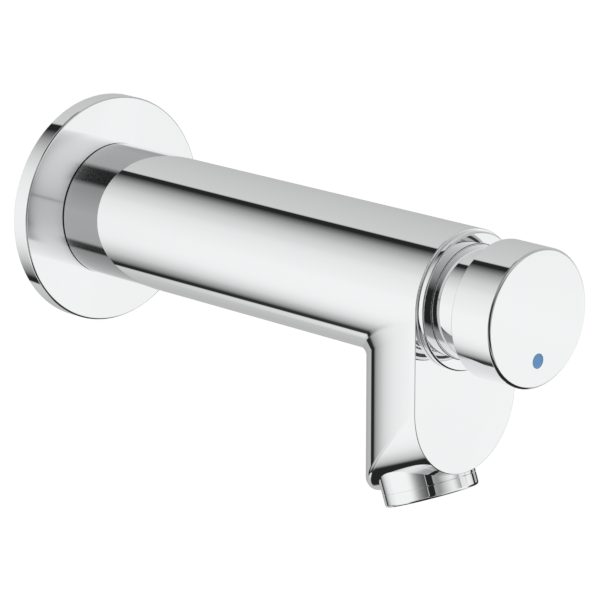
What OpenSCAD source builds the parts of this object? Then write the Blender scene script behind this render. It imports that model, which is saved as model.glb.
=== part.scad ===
// Push timed wall tap. Millimetres, the wall is the plane y = 0, the tap stands out along -Y, +Z is up.

/* [Wall flange] */
// Outside diameter of the disc on the wall
flange_d = 70; // [62:0.5:90]
// Thickness of the disc
flange_t = 5.9; // [5:0.1:10]
// Rounding of the disc's front edge
flange_edge = 1.2; // [0.4:0.1:2]
// Radial width of the foam ring behind the disc
flange_seal_w = 7; // [4:0.5:9]
// Thickness of the foam ring
flange_seal_t = 2.5; // [1.5:0.1:3.5]
// Metal left between the foam ring and the disc's edge
flange_rim = 3; // [2:0.5:6]

/* [Body] */
// Outside diameter of the tube
tube_d = 41; // [40.5:0.1:46]
// Distance from the wall to the body's front face
body_len = 155.5; // [148:0.5:210]
// Depth of the spout leg from front to back
spout_depth = 33.6; // [33:0.1:38]
// Radius of the spout leg's narrow back
spout_back_r = 14; // [12:0.5:16]
// Step from the tube's side to the spout's side
spout_inset = 0.1; // [0.05:0.05:0.5]
// Distance from the tube's axis down to the lowest point of the front face
spout_drop = 50.3; // [47:0.1:70]
// Angle by which the outlet leans forward
outlet_tilt = 21.5; // [15:0.5:24]
// Distance along the slanted underside from the front face to the outlet's axis
outlet_back = 23.2; // [22:0.1:25]
// Diameter of the water channel in the spout leg
channel_d = 12; // [8:0.5:13]
// Wall between the spout's back and its water channel
channel_wall = 5.8; // [4:0.1:7]
// Diameter of the water passage in the tube
passage_d = 18; // [16.5:0.5:22]

/* [Push button] */
// Outside diameter of the cap
button_d = 39.5; // [38:0.1:44]
// Length of the cap
button_len = 14.3; // [13:0.1:20]
// Gap between the collar and the cap at rest
button_gap = 10.4; // [9:0.1:14]
// How far the cap is pushed in
button_travel = 7; // [4:0.5:8]
// Rounding of the cap's edges
button_edge = 0.9; // [0.3:0.1:1.4]
// Thickness of the cap's face
button_face_t = 2.5; // [1.5:0.1:3]
// Thickness of the carrier's disc in the cap
carrier_t = 1.5; // [1:0.1:2]
// Length of the carrier's hub
carrier_hub_len = 7; // [5:0.1:9]
// Wall of the carrier's hub
carrier_hub_wall = 4; // [2.5:0.1:4.4]
// Diameter of the coloured dot
dot_d = 4.2; // [3:0.1:6]
// Depth of the dot in the cap's face
dot_t = 0.6; // [0.4:0.1:1]
// Distance of the dot below the cap's centre
dot_drop = 11.9; // [8:0.1:14]

/* [Collar and neck] */
// Outside diameter of the collar
collar_d = 39.5; // [38.5:0.1:40.4]
// How far the collar stands in front of the body
collar_proud = 2.1; // [1.2:0.1:4]
// Rounding of the collar's front edge
collar_edge = 0.4; // [0.2:0.1:0.8]
// Diameter of the collar's thread
collar_thread_d = 35.9; // [35.4:0.1:36.6]
// Wall of the collar at its thread
collar_wall = 1.5; // [1:0.1:1.6]
// Length of the collar's thread
collar_thread_len = 6.5; // [5:0.5:8]
// Outside diameter of the neck
neck_d = 32.5; // [31.6:0.1:33]
// Wall of the neck
neck_wall = 3; // [2:0.1:4]
// Thickness of the neck's foot, which the collar clamps
neck_foot_t = 2; // [1.5:0.1:3]
// Thickness of the neck's floor, which carries the spring
neck_floor_t = 3; // [2.5:0.1:4]
// Length of the slide ring on the neck
guide_ring_len = 1.6; // [1:0.1:1.8]
// Depth of the slide ring in the neck
guide_ring_depth = 0.8; // [0.5:0.1:1.2]
// Metal of the neck in front of the slide ring
guide_ring_land = 0.8; // [0.5:0.1:1]

/* [Inlet] */
// Outside diameter of the half-inch pipe thread
inlet_thread_d = 20.95; // [20.5:0.05:21.4]
// Length of the pipe thread behind the wall
inlet_len = 18; // [12:1:40]
// Chamfer at the thread's end
inlet_chamfer = 1; // [0.5:0.1:1.5]
// Diameter of the nipple's bore
inlet_bore_d = 12; // [10:0.5:13]
// Size of the nipple's hexagon across its flats
nipple_hex = 24; // [24:0.5:26]
// Diameter of the nipple's thread in the body
nipple_thread_d = 23.8; // [23:0.1:24]
// Length of the nipple's thread in the body
nipple_thread_len = 14; // [10:0.5:20]
// Length of the strainer's basket
strainer_len = 18; // [12:0.5:24]
// Outside diameter of the strainer's gauze
strainer_d = 12.6; // [11.6:0.1:13]
// Thickness of the strainer's gauze
strainer_mesh_t = 0.4; // [0.3:0.1:0.6]
// Thickness of the strainer's plastic
strainer_wall = 1.5; // [1:0.1:2]
// Width of the strainer's ribs
strainer_rib_w = 1.4; // [1:0.1:2]
// Thickness of the strainer's ribs
strainer_rib_t = 0.8; // [0.6:0.1:1]

/* [Cartridge] */
// Outside diameter of the barrel
barrel_d = 32.7; // [32:0.1:33.4]
// Thickness of the barrel's flange
barrel_flange_t = 3; // [2:0.1:4]
// Diameter of the piston's chamber
chamber_d = 23; // [22:0.1:24]
// Thickness of the barrel's middle wall
middle_wall_t = 7; // [6:0.1:9]
// Length of the outlet chamber behind the middle wall
outlet_chamber_len = 17; // [14:0.5:24]
// Diameter of the outlet chamber
outlet_chamber_d = 18; // [14:0.5:19]
// Diameter of the barrel inside its outer water groove
groove_d = 28.4; // [27.5:0.1:29.5]
// Diameter of the four ports between outlet chamber and groove
port_d = 6; // [4:0.1:7]
// Diameter of the stem
stem_d = 6; // [5:0.1:7]
// Step from the stem to its thinner tail, which carries the valve
stem_tail_step = 0.6; // [0.4:0.1:0.8]
// Thickness of the stem's shoulder behind the piston
stem_shoulder_t = 1; // [0.8:0.1:2]
// Height of the stem's shoulder
stem_shoulder_h = 1.5; // [1:0.1:2]
// Cross-section of the seal ring round the stem
stem_ring_d = 2; // [1.6:0.1:2.2]
// Wall behind the stem's seal ring
gland_floor = 2; // [1.5:0.1:2.5]
// Wall of the stem's bush
stem_bush_wall = 2; // [1.5:0.1:3]
// Height and width of the bush's rim
stem_bush_rim = 1; // [0.8:0.1:1.4]
// Length of the piston
piston_len = 5.5; // [5:0.1:7]
// Thickness of the piston's disc
piston_disc_t = 3; // [2:0.1:3.5]
// Diameter of the piston's spigot, which carries the lip seal
piston_spigot_d = 18; // [16.5:0.1:19]
// Gap between the piston and the neck's floor at rest
piston_head_gap = 3; // [2:0.1:5]
// Thickness of the piston's circlip
circlip_t = 0.8; // [0.6:0.1:1.2]
// Depth of the circlip's groove in the stem
circlip_depth = 0.5; // [0.3:0.1:0.7]
// Radial width of the circlip
circlip_w = 1.9; // [1.4:0.1:2.4]
// Thickness of the lip seal
lip_seal_t = 1.2; // [0.8:0.1:1.5]
// Diameter of the needle in the timing hole
metering_pin_d = 1; // [0.8:0.1:1.4]
// Distance of the needle from the axis
metering_pin_off = 6.4; // [6.2:0.1:6.8]
// Thickness of the valve seat
seat_t = 5; // [4:0.1:7]
// Outside diameter of the valve seat
seat_d = 21.8; // [21:0.1:23]
// Diameter of the hole in the valve seat
seat_hole_d = 11; // [9:0.1:12]
// Height of the seat's sealing lip
seat_lip = 0.8; // [0.5:0.1:1.2]
// Width of the seat's sealing lip at its foot
seat_lip_w = 1.6; // [1.2:0.1:1.8]
// Thickness of the seat's gasket
seat_gasket_t = 1; // [0.6:0.1:2]
// How far the gasket reaches inside the outlet chamber's wall
seat_gasket_in = 1; // [0.5:0.1:1.4]
// Diameter of the valve washer
washer_d = 16; // [15:0.1:17]
// Thickness of the valve washer
washer_t = 3; // [2:0.1:4]
// Wall of the washer's holder
holder_wall = 1.4; // [1:0.1:2]
// Size of the valve nut across its flats
valve_nut_af = 8; // [7.5:0.1:9]
// Thickness of the valve nut
valve_nut_t = 2.6; // [2:0.1:4]
// Length of the stem's end behind the nut
stem_end = 0.8; // [0.4:0.1:2]
// Room left behind the stem when the button is pushed in
stem_room = 3; // [1:0.5:6]

/* [Spring] */
// Mean diameter of the spring
spring_d = 20; // [18.5:0.1:22]
// Diameter of the spring's wire
spring_wire_d = 1.5; // [1.2:0.1:1.8]
// Number of turns, with a close one at each end
spring_turns = 7; // [5:1:8]
// Gap between the close turns
spring_close_gap = 0.5; // [0.45:0.05:0.8]

/* [Outlet] */
// Outside diameter of the outlet ring
aerator_d = 27.5; // [27:0.1:28.4]
// How far the ring stands out of the spout's lowest line
aerator_stand = 4.6; // [4:0.1:7]
// How far the ring's shoulder lies inside the spout's rounded underside
aerator_cover = 0.2; // [0.1:0.05:0.6]
// Height of the seam line above the ring's lower edge
aerator_seam = 3.8; // [2:0.1:3.9]
// Depth of the seam line
aerator_seam_depth = 0.2; // [0.1:0.05:0.3]
// Rounding of the ring's lower edge
aerator_edge = 0.8; // [0.3:0.1:1]
// Diameter of the ring's thread
aerator_thread_d = 24; // [23.6:0.1:24.4]
// Length of the ring's thread
aerator_thread_len = 5; // [4:0.1:5.4]
// Wall of the ring at its thread
aerator_wall = 1.2; // [0.9:0.1:1.5]
// Thickness of the lip that holds the insert
aerator_lip_t = 1; // [0.7:0.1:1.4]
// Width of the lip that holds the insert
aerator_lip_w = 0.8; // [0.5:0.1:1.1]
// Thickness of the outlet gasket
aerator_gasket_t = 1.5; // [1:0.1:1.8]
// Width of the ledge above the outlet gasket
plenum_ledge = 1.6; // [1:0.1:2.4]
// Height of the space above the outlet gasket
plenum_h = 5; // [3:0.1:6]
// Wall of the jet former
insert_wall = 1.4; // [1:0.1:1.8]
// Thickness of the jet former's top plate
insert_plate_t = 2; // [1.5:0.1:3]
// Number of jets
jets = 16; // [8:1:20]
// Diameter of a jet, and half the width of an air slot
jet_d = 1.2; // [0.8:0.1:1.5]
// Distance of the jets from the jet former's wall
jet_in = 2; // [1.5:0.1:3]
// Number of air slots
vents = 8; // [4:1:10]
// Height of the honeycomb
grid_h = 3; // [2:0.1:4]
// Distance between the honeycomb's cells
grid_pitch = 2.3; // [2.1:0.1:2.8]
// Wall between the honeycomb's cells
grid_wall = 0.45; // [0.35:0.05:0.6]
// Thickness of the sieve above the jets
sieve_t = 1; // [0.6:0.1:1.4]
// Height of the sieve's raised middle, and the width of its slope
sieve_rise = 1; // [0.6:0.1:1.4]

/* [Seals and clearances] */
// Cross-section of the seal rings on the nipple and the barrel
ring_d = 1.6; // [1.2:0.1:1.8]
// Metal beside each of those rings
ring_land = 1.2; // [0.8:0.1:2]
// Radial play of pieces that are screwed or set into each other
seat_play = 0.05; // [0.02:0.01:0.1]
// Radial play of pieces that slide in each other
slide_play = 0.08; // [0.03:0.01:0.1]
// Clearance of pieces that pass each other without touching
run_gap = 0.35; // [0.3:0.05:0.6]
// Gap between the closed valve washer and its seat
valve_gap = 0.2; // [0.1:0.05:0.3]
// Clearance left at the end of the button's stroke
stop_gap = 0.5; // [0.4:0.1:1]

/* [Hidden] */
$fn = 96;

// Wall side
flange_r = flange_d / 2;
hex_r = nipple_hex / sqrt(3);
flange_bore_r = hex_r + run_gap;
flange_seal_r = flange_r - flange_rim;
nipple_r = nipple_thread_d / 2;
nipple_end = flange_t + nipple_thread_len;
half_groove = ring_d / 2 + run_gap;
nipple_ring_s = flange_t + ring_land + half_groove;
strainer_seat = nipple_end + strainer_wall;
strainer_end = strainer_seat + strainer_len;
strainer_r = strainer_d / 2;

// Body
tube_r = tube_d / 2;
front = body_len;
spout_r = tube_r - spout_inset;
underside_r = spout_r + spout_inset / 2;
side_r = (pow(spout_r, 2) + pow(spout_depth, 2) - 2 * spout_depth * spout_back_r)
    / (2 * (spout_r - spout_back_r));
side_end = (spout_depth - spout_back_r) * side_r / (side_r - spout_back_r);
tongue_z = spout_drop - underside_r / cos(outlet_tilt);
leg_low = spout_drop + spout_depth * tan(outlet_tilt) + spout_r;
channel_s = front - spout_depth + channel_wall + channel_d / 2;

// Collar, neck and cap, measured out from the front face
collar_r = collar_d / 2;
collar_face = front + collar_proud;
collar_back = front - collar_thread_len;
collar_thread_r = collar_thread_d / 2;
collar_bore_r = collar_thread_r - collar_wall;
neck_r = neck_d / 2;
shank_r = collar_bore_r - 2 * seat_play;
neck_back = collar_back - neck_foot_t;
neck_floor = neck_back + neck_floor_t;
button_r = button_d / 2;
button_back = collar_face + button_gap;
button_front = button_back + button_len;
button_bore_r = neck_r + run_gap;
button_floor = button_front - button_face_t;
dot_back = button_front - dot_t;
insert_back = button_floor - carrier_t;
insert_hub_r = stem_d / 2 + carrier_hub_wall;
insert_hub_back = insert_back - carrier_hub_len;
neck_end = insert_back - button_travel - stop_gap;
guide_ring_front = neck_end - guide_ring_land;
guide_ring_back = guide_ring_front - guide_ring_len;
guide_ring_r = button_bore_r - slide_play;

// Cartridge, measured back from the neck's foot
stem_r = stem_d / 2;
barrel_r = barrel_d / 2;
barrel_bore_r = barrel_r + seat_play * 2;
shoulder = neck_back - barrel_flange_t;
bush_r = stem_r + stem_bush_wall;
chamber_len = piston_head_gap + piston_len + stem_shoulder_t + button_travel + stop_gap;
chamber_back = neck_back - chamber_len;
middle_back = chamber_back - middle_wall_t;
seat_pocket = middle_back - outlet_chamber_len;
seat_front = seat_pocket - seat_gasket_t;
seat_back = seat_front - seat_t;
front_ring_s = shoulder - ring_land - half_groove;
rear_ring_s = seat_back + ring_land + half_groove;
groove_front = front_ring_s - half_groove - ring_land;
groove_back = rear_ring_s + half_groove + ring_land;
port_s = seat_pocket + outlet_chamber_len / 2;
piston_front = neck_back - piston_head_gap;
piston_back = piston_front - piston_len;
piston_disc_front = piston_back + piston_disc_t;
gland = middle_back + gland_floor;
gland_r = stem_r + stem_ring_d + 2 * seat_play;
retainer_back = gland + stem_ring_d + 2 * seat_play;
washer_front = seat_back - seat_lip - valve_gap;
washer_back = washer_front - washer_t;
holder_back = washer_back - holder_wall;
valve_nut_back = holder_back - valve_nut_t;
stem_back = valve_nut_back - stem_end;
stem_tail_r = stem_r - stem_tail_step;
bore_back = stem_back - button_travel - stem_room;

// Outlet, measured up its own axis from the spout's lowest line
aerator_r = aerator_d / 2;
aerator_thread_r = aerator_thread_d / 2;
aerator_sunk = underside_r - sqrt(pow(underside_r, 2) - pow(aerator_r, 2)) + aerator_cover;
aerator_top = aerator_sunk + aerator_thread_len;
aerator_bore_r = aerator_thread_r - aerator_wall;
aerator_gasket_top = aerator_top + aerator_gasket_t;
plenum_r = aerator_bore_r - plenum_ledge;
plenum_mid = aerator_gasket_top + plenum_h / 2 - underside_r;
plenum_z = -tongue_z - outlet_back * sin(outlet_tilt) + plenum_mid * cos(outlet_tilt);
lip_top = aerator_lip_t - aerator_stand;
insert_top = aerator_top - sieve_t;
grid_r = aerator_bore_r - seat_play - insert_wall - seat_play;

// Spring, whose wire is swept along a helix whose first and last turns lie close
spring_back = neck_floor + spring_wire_d / 2 + seat_play;
spring_front = insert_back - spring_wire_d / 2 - seat_play;
spring_close = spring_wire_d + spring_close_gap;
spring_open = (spring_front - spring_back - 2 * spring_close) / (spring_turns - 2);
spring_steps = 18;
spring_sides = 8;
spring_count = spring_turns * spring_steps;
function spring_s(turn) = turn < 1 ? spring_back + turn * spring_close
    : turn > spring_turns - 1 ? spring_front - (spring_turns - turn) * spring_close
    : spring_back + spring_close + (turn - 1) * spring_open;
function spring_point(i, r, dz) =
    [r * cos(360 * i / spring_steps), r * sin(360 * i / spring_steps), spring_s(i / spring_steps) + dz];
spring_path = [for (i = [0 : spring_count]) spring_point(i, spring_d / 2, 0)];
spring_pitches = [for (i = [spring_steps : spring_count]) norm(spring_path[i] - spring_path[i - spring_steps])];
echo(spring_gap_mm = min(spring_pitches) - spring_wire_d);

// Stands a shape that is drawn along +Z out of the wall, with its +Y side up
module out_of_wall() {
    rotate([90, 0, 0]) children();
}

// A body of revolution about the tube's axis, from points of radius and distance to the wall
module turned(points) {
    out_of_wall() rotate_extrude() polygon(points);
}

// A plain ring about the tube's axis between two distances from the wall
module ring(outer_r, inner_r, from, to) {
    turned([[inner_r, from], [outer_r, from], [outer_r, to], [inner_r, to]]);
}

// A seal ring of round section about the tube's axis, lying in the space between two radii
module seal_ring(inner_r, outer_r, s, play) {
    mean_r = (inner_r + outer_r) / 2;
    section_r = (outer_r - inner_r) / 2 - play;
    out_of_wall() translate([0, 0, s]) rotate_extrude() translate([mean_r, 0]) circle(section_r);
}

// A profile of radius r between two distances whose far edge is rounded, and its near edge too if asked
module rounded_profile(r, from, to, edge, both) {
    near = both ? edge : 0;
    translate([0, from]) square([r - edge, to - from]);
    translate([0, from + near]) square([r, to - from - near - edge]);
    translate([r - edge, to - edge]) circle(edge);
    if (both) translate([r - edge, from + edge]) circle(edge);
}

// The frame of the slanted underside: +Y runs back along it, +Z up the outlet's axis
module along_underside() {
    translate([0, -front, -tongue_z]) rotate([-outlet_tilt, 0, 0]) children();
}

// The outlet's own frame, on the spout's lowest line
module at_outlet() {
    along_underside() translate([0, outlet_back, -underside_r]) children();
}

// A plain ring about the outlet's axis
module outlet_ring(outer_r, inner_r, from, to) {
    at_outlet() rotate_extrude() polygon([[inner_r, from], [outer_r, from], [outer_r, to], [inner_r, to]]);
}

// Plan of the spout leg: a flat front, two wide arcs for its sides and a narrow arc for its back
module spout_plan() {
    intersection() {
        translate([side_r - spout_r, 0]) circle(side_r);
        translate([spout_r - side_r, 0]) circle(side_r);
        translate([-spout_r, 0]) square([2 * spout_r, side_end]);
    }
    intersection() {
        translate([0, spout_depth - spout_back_r]) circle(spout_back_r);
        translate([-spout_r, side_end]) square([2 * spout_r, spout_depth]);
    }
}

// The spout leg: oval in plan, with a slanted round underside
module spout_leg() {
    intersection() {
        translate([0, -front, -leg_low]) linear_extrude(leg_low) spout_plan();
        along_underside() {
            rotate([-90, 0, 0]) translate([0, 0, -leg_low]) cylinder(r = underside_r, h = 3 * leg_low);
            translate([-leg_low, -leg_low, 0]) cube([2 * leg_low, 3 * leg_low, 2 * leg_low]);
        }
    }
}

// All that is bored out of the body
module body_bores() {
    out_of_wall() {
        translate([0, 0, flange_t - 1]) cylinder(r = nipple_r + seat_play, h = strainer_seat - flange_t + 1);
        translate([0, 0, strainer_seat - 1]) cylinder(d = passage_d, h = bore_back - strainer_seat + 2);
        translate([0, 0, bore_back]) cylinder(r = barrel_bore_r, h = front - bore_back + 1);
        translate([0, 0, shoulder]) cylinder(r = collar_thread_r + seat_play, h = front - shoulder + 1);
    }
    at_outlet() {
        translate([0, 0, -leg_low]) cylinder(r = aerator_r + seat_play, h = leg_low + aerator_sunk);
        cylinder(r = aerator_thread_r + seat_play, h = aerator_gasket_top);
        cylinder(r = plenum_r, h = aerator_gasket_top + plenum_h);
    }
    translate([0, -channel_s, plenum_z]) cylinder(d = channel_d, h = -plenum_z - stem_r);
}

module wall_flange() {
    color("silver") difference() {
        out_of_wall() rotate_extrude() rounded_profile(flange_r, 0, flange_t, flange_edge, false);
        out_of_wall() translate([0, 0, -1]) cylinder(r = flange_bore_r, h = flange_t + 2);
        ring(flange_seal_r, flange_seal_r - flange_seal_w, -1, flange_seal_t);
    }
}

module flange_seal() {
    inner_r = flange_seal_r - flange_seal_w + seat_play;
    color("dimgray") ring(flange_seal_r - seat_play, inner_r, 0, flange_seal_t);
}

module tap_body() {
    color("silver") difference() {
        union() {
            out_of_wall() translate([0, 0, flange_t]) cylinder(r = tube_r, h = front - flange_t);
            spout_leg();
        }
        body_bores();
    }
}

module inlet_nipple() {
    thread_r = inlet_thread_d / 2;
    groove_r = nipple_r - ring_d;
    color("goldenrod") difference() {
        union() {
            turned([[0, -inlet_len], [thread_r - inlet_chamfer, -inlet_len],
                [thread_r, inlet_chamfer - inlet_len], [thread_r, flange_t],
                [nipple_r, flange_t], [nipple_r, nipple_end], [0, nipple_end]]);
            out_of_wall() translate([0, 0, run_gap]) cylinder(r = hex_r, h = flange_t - run_gap, $fn = 6);
        }
        ring(inlet_bore_d / 2, 0, -inlet_len - 1, nipple_end + 1);
        ring(nipple_r + 1, groove_r, nipple_ring_s - half_groove, nipple_ring_s + half_groove);
    }
}

module nipple_o_ring() {
    color("black") seal_ring(nipple_r - ring_d, nipple_r + seat_play, nipple_ring_s, seat_play);
}

module strainer_frame() {
    rib_r = strainer_r + seat_play;
    cap_r = rib_r + strainer_rib_t;
    color("whitesmoke") {
        ring(nipple_r, strainer_r - strainer_mesh_t - seat_play, nipple_end, strainer_seat);
        out_of_wall() translate([0, 0, strainer_end]) cylinder(r = cap_r, h = strainer_wall);
        for (turn = [0 : 90 : 270]) {
            rotate([0, turn, 0]) translate([rib_r, -strainer_end - strainer_wall, -strainer_rib_w / 2])
                cube([strainer_rib_t, strainer_len + 2 * strainer_wall, strainer_rib_w]);
        }
    }
}

module strainer_mesh() {
    color("lightsteelblue") ring(strainer_r, strainer_r - strainer_mesh_t, strainer_seat, strainer_end);
}

module cartridge_housing() {
    groove_r = barrel_r - ring_d;
    pocket_r = seat_d / 2 + seat_play;
    pin_hole_d = metering_pin_d + 2 * seat_play;
    color("goldenrod") difference() {
        turned([[0, seat_back], [barrel_r, seat_back], [barrel_r, shoulder], [collar_thread_r, shoulder],
            [collar_thread_r, neck_back], [0, neck_back]]);
        out_of_wall() {
            translate([0, 0, seat_back - 1]) cylinder(r = pocket_r, h = seat_pocket - seat_back + 1);
            translate([0, 0, seat_pocket - 1]) cylinder(d = outlet_chamber_d, h = outlet_chamber_len + 1);
            translate([0, 0, middle_back - 1]) cylinder(r = stem_r + run_gap, h = middle_wall_t + 2);
            translate([0, 0, gland]) cylinder(r = gland_r, h = middle_wall_t);
            translate([0, 0, chamber_back]) cylinder(d = chamber_d, h = chamber_len + 1);
            translate([metering_pin_off, 0, gland]) cylinder(d = pin_hole_d, h = middle_wall_t);
        }
        ring(barrel_r + 1, groove_d / 2, groove_back, groove_front);
        ring(barrel_r + 1, groove_r, front_ring_s - half_groove, front_ring_s + half_groove);
        ring(barrel_r + 1, groove_r, rear_ring_s - half_groove, rear_ring_s + half_groove);
        for (turn = [45 : 90 : 315]) {
            rotate([0, turn, 0]) translate([0, -port_s, 0]) cylinder(d = port_d, h = barrel_r);
        }
    }
}

module housing_o_rings() {
    color("black") for (s = [rear_ring_s, front_ring_s]) {
        seal_ring(barrel_r - ring_d, barrel_bore_r, s, seat_play);
    }
}

module valve_seat() {
    hole_r = seat_hole_d / 2;
    lip_back = seat_back - seat_lip;
    color("goldenrod") turned([[hole_r, lip_back], [hole_r + seat_lip_w / 2, lip_back],
        [hole_r + seat_lip_w, seat_back], [seat_d / 2, seat_back], [seat_d / 2, seat_front],
        [hole_r, seat_front]]);
}

module seat_gasket() {
    color("black") ring(seat_d / 2, outlet_chamber_d / 2 - seat_gasket_in, seat_front, seat_pocket);
}

module stem_seal() {
    color("black") seal_ring(stem_r, gland_r, gland + stem_ring_d / 2 + seat_play, seat_play);
}

module seal_retainer() {
    color("ivory") ring(gland_r - seat_play, stem_r + slide_play, retainer_back, chamber_back);
}

module metering_pin() {
    pin_end = piston_front + piston_head_gap / 2;
    color("lightgray") out_of_wall() translate([metering_pin_off, 0, gland])
        cylinder(d = metering_pin_d, h = pin_end - gland);
}

module guide_sleeve() {
    bore_r = neck_r - neck_wall;
    groove_r = neck_r - guide_ring_depth;
    color("silver") turned([[bush_r, neck_back], [collar_thread_r, neck_back], [collar_thread_r, collar_back],
        [shank_r, collar_back], [shank_r, collar_face], [neck_r, collar_face], [neck_r, guide_ring_back],
        [groove_r, guide_ring_back], [groove_r, guide_ring_front], [neck_r, guide_ring_front],
        [neck_r, neck_end], [bore_r, neck_end], [bore_r, neck_floor], [bush_r, neck_floor]]);
}

module stem_bush() {
    outer_r = bush_r - seat_play;
    rim_r = outer_r + stem_bush_rim;
    rim_front = neck_floor + stem_bush_rim;
    bore_r = stem_r + slide_play;
    color("ivory") turned([[bore_r, neck_back], [outer_r, neck_back], [outer_r, neck_floor],
        [rim_r, neck_floor], [rim_r, rim_front], [bore_r, rim_front]]);
}

module front_collar() {
    color("silver") difference() {
        union() {
            out_of_wall() rotate_extrude() rounded_profile(collar_r, front, collar_face, collar_edge, false);
            out_of_wall() translate([0, 0, collar_back]) cylinder(r = collar_thread_r, h = collar_thread_len);
        }
        ring(collar_bore_r, 0, collar_back - 1, collar_face + 1);
    }
}

module guide_ring() {
    color("ivory") ring(guide_ring_r, neck_r - guide_ring_depth, guide_ring_back, guide_ring_front);
}

module return_spring() {
    wire_r = spring_wire_d / 2;
    last = spring_count;
    points = [for (i = [0 : last], k = [0 : spring_sides - 1], turn = 360 * k / spring_sides)
        spring_point(i, spring_d / 2 + wire_r * cos(turn), wire_r * sin(turn))];
    function at(i, k) = i * spring_sides + k % spring_sides;
    sides = [for (i = [0 : last - 1], k = [0 : spring_sides - 1], half = [0, 1])
        half == 0 ? [at(i, k), at(i + 1, k), at(i + 1, k + 1)] : [at(i, k), at(i + 1, k + 1), at(i, k + 1)]];
    back_end = [for (k = [1 : spring_sides - 2]) [at(0, 0), at(0, k), at(0, k + 1)]];
    front_end = [for (k = [1 : spring_sides - 2]) [at(last, 0), at(last, k + 1), at(last, k)]];
    color("lightgray") out_of_wall() polyhedron(points, concat(sides, back_end, front_end));
}

module aerator_housing() {
    seam = aerator_seam_depth;
    seam_z = aerator_seam - aerator_stand;
    color("silver") at_outlet() difference() {
        union() {
            rotate_extrude() mirror([0, 1])
                rounded_profile(aerator_r, -aerator_sunk, aerator_stand, aerator_edge, false);
            cylinder(r = aerator_thread_r, h = aerator_top);
        }
        translate([0, 0, lip_top]) cylinder(r = aerator_bore_r, h = aerator_top - lip_top + 1);
        translate([0, 0, -aerator_stand - 1])
            cylinder(r = aerator_bore_r - aerator_lip_w, h = aerator_stand + 2);
        rotate_extrude() polygon([[aerator_r - seam, seam_z], [aerator_r + seam, seam_z - 2 * seam],
            [aerator_r + seam, seam_z + 2 * seam]]);
    }
}

module aerator_gasket() {
    color("black") outlet_ring(aerator_thread_r, plenum_r, aerator_top, aerator_gasket_top);
}

module aerator_insert() {
    insert_r = aerator_bore_r - seat_play;
    inner_r = insert_r - insert_wall;
    color("whitesmoke") at_outlet() difference() {
        translate([0, 0, lip_top]) cylinder(r = insert_r, h = insert_top - lip_top);
        translate([0, 0, lip_top - 1]) cylinder(r = inner_r, h = insert_top - insert_plate_t - lip_top + 1);
        for (i = [0 : jets - 1]) {
            rotate([0, 0, 360 * i / jets]) translate([inner_r - jet_in, 0, 0])
                cylinder(d = jet_d, h = insert_top + 1);
        }
        for (i = [0 : vents - 1]) {
            rotate([0, 0, 360 * i / vents]) translate([inner_r - 1, -jet_d, lip_top + grid_h])
                cube([insert_wall + 2, 2 * jet_d, jet_d]);
        }
    }
}

module aerator_strainer() {
    rim_r = aerator_bore_r - seat_play;
    slope_r = plenum_r - sieve_rise;
    top = aerator_top + sieve_rise;
    color("lightsteelblue") at_outlet() rotate_extrude() polygon([[0, insert_top], [rim_r, insert_top],
        [rim_r, aerator_top], [slope_r, aerator_top], [slope_r - sieve_rise, top], [0, top]]);
}

module aerator_grid() {
    cell_r = (grid_pitch - grid_wall) / sqrt(3);
    reach = ceil(grid_r / grid_pitch);
    row = grid_pitch * sqrt(3) / 2;
    color("whitesmoke") at_outlet() translate([0, 0, lip_top]) difference() {
        cylinder(r = grid_r, h = grid_h);
        for (j = [-reach : reach], i = [-reach : reach]) {
            x = (i + (j % 2 == 0 ? 0 : 0.5)) * grid_pitch;
            if (norm([x, j * row]) < grid_r - cell_r - grid_wall) {
                translate([x, j * row, -1]) rotate(30) cylinder(r = cell_r, h = grid_h + 2, $fn = 6);
            }
        }
    }
}

module push_button() {
    color("silver") difference() {
        out_of_wall() rotate_extrude() rounded_profile(button_r, button_back, button_front, button_edge, true);
        ring(button_bore_r, 0, button_back - 1, button_floor);
        out_of_wall() translate([0, -dot_drop, dot_back]) cylinder(d = dot_d + 2 * seat_play, h = dot_t + 1);
    }
}

module cold_marker() {
    color("steelblue") out_of_wall() translate([0, -dot_drop, dot_back]) cylinder(d = dot_d, h = dot_t);
}

module button_insert() {
    disc_r = button_bore_r - seat_play;
    hole_r = stem_r + seat_play;
    color("dimgray") turned([[hole_r, insert_hub_back], [insert_hub_r, insert_hub_back],
        [insert_hub_r, insert_back], [disc_r, insert_back], [disc_r, button_floor], [0, button_floor],
        [0, insert_back], [hole_r, insert_back]]);
}

module plunger_stem() {
    shoulder_r = stem_r + stem_shoulder_h;
    clip_r = stem_r - circlip_depth;
    clip_front = piston_front + circlip_t;
    shoulder_back = piston_back - stem_shoulder_t;
    stem_front = insert_back - seat_play;
    color("lightgray") turned([[0, stem_back], [stem_tail_r, stem_back], [stem_tail_r, washer_front],
        [stem_r, washer_front], [stem_r, shoulder_back], [shoulder_r, shoulder_back], [shoulder_r, piston_back],
        [stem_r, piston_back], [stem_r, piston_front], [clip_r, piston_front], [clip_r, clip_front],
        [stem_r, clip_front], [stem_r, stem_front], [0, stem_front]]);
}

module piston() {
    disc_r = chamber_d / 2 - run_gap;
    bore_r = stem_r + seat_play;
    spigot_r = piston_spigot_d / 2;
    hole_d = metering_pin_d + 2 * run_gap;
    color("ivory") difference() {
        turned([[bore_r, piston_back], [disc_r, piston_back], [disc_r, piston_disc_front],
            [spigot_r, piston_disc_front], [spigot_r, piston_front], [bore_r, piston_front]]);
        out_of_wall() translate([metering_pin_off, 0, piston_back - 1])
            cylinder(d = hole_d, h = piston_len + 2);
    }
}

module piston_lip_seal() {
    lip_r = chamber_d / 2 - slide_play;
    root_r = piston_spigot_d / 2;
    web = lip_seal_t * 2 / 3;
    seal_front = piston_disc_front + lip_seal_t;
    color("black") turned([[root_r, piston_disc_front], [lip_r - run_gap, piston_disc_front],
        [lip_r, piston_front], [lip_r - web, piston_front], [root_r + web, seal_front], [root_r, seal_front]]);
}

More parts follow.
